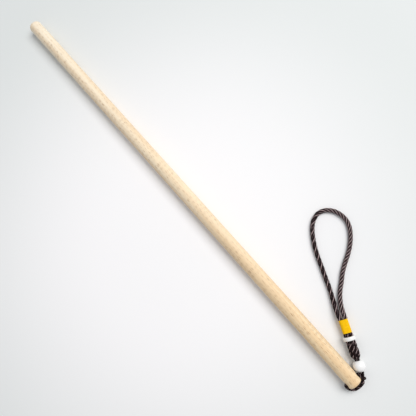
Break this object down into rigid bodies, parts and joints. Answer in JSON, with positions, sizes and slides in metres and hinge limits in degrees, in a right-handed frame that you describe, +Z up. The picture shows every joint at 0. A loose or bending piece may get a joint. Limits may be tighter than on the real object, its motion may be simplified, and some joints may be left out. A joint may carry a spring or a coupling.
{
  "type": "devil stick",
  "caption": "Plain round wooden stick with a wrist lanyard: thin cord hitched through a cross hole, round bead, bound strand bundle, spacer ring, thread wrap and rope loop.",
  "frame": {"origin": "under the middle of the stick, on the surface that it lies on", "axes": "+X along the stick towards the lanyard end, +Z up; the lanyard lies on the +Y side"},
  "size_m": [0.5549, 0.1186, 0.015],
  "materials": {
    "wood": "sanded pale beech, unvarnished, fine short dark flecks along the grain",
    "tether": "thin twisted cord, near-black brown with pale flecks",
    "bead": "smooth glossy white",
    "binding": "fine dark thread",
    "rope": "laid cord, near-black brown with pale pinkish flecks",
    "ring": "smooth white with a soft shine",
    "wrap": "tight turns of silky yellow thread"
  },
  "bodies": {
    "stick": {"stick": "wood", "hitch_cord": "tether"},
    "tether": {"tether_leg_near": "tether", "tether_leg_far": "tether"},
    "lanyard": {"neck_binding": "binding", "strand_bundle": "rope", "rope_pair": "rope", "thread_wrap": "wrap"},
    "bead": {"round_bead": "bead"},
    "ring": {"spacer_ring": "ring"},
    "loop": {"wrist_rope": "rope"}
  },
  "joints": [
    {"name": "tether_swing", "type": "hinge", "parent": "stick", "child": "tether", "pos_m": [0.2764, 0.009, 0.0063], "axis": [0, 0, 1], "range_deg": [-150, 3], "deforming": ["tether_leg_near", "tether_leg_far"]},
    {"name": "tether_lift", "type": "hinge", "parent": "tether", "child": "lanyard", "pos_m": [0.2764, 0.009, 0.0063], "axis": [0.4147, 0.91, 0], "range_deg": [-90, 90], "deforming": ["tether_leg_near", "tether_leg_far"]},
    {"name": "bead_spin", "type": "hinge", "parent": "lanyard", "child": "bead", "pos_m": [0.26477, 0.0143, 0.0063], "axis": [-0.91, 0.4147, 0], "continuous": true},
    {"name": "ring_spin", "type": "hinge", "parent": "lanyard", "child": "ring", "pos_m": [0.24011, 0.02554, 0.0063], "axis": [-0.91, 0.4147, 0], "continuous": true},
    {"name": "loop_bend", "type": "hinge", "parent": "lanyard", "child": "loop", "pos_m": [0.22309, 0.03329, 0.0063], "axis": [0.4147, 0.91, 0], "range_deg": [-60, 60], "deforming": ["wrist_rope"]}
  ]
}
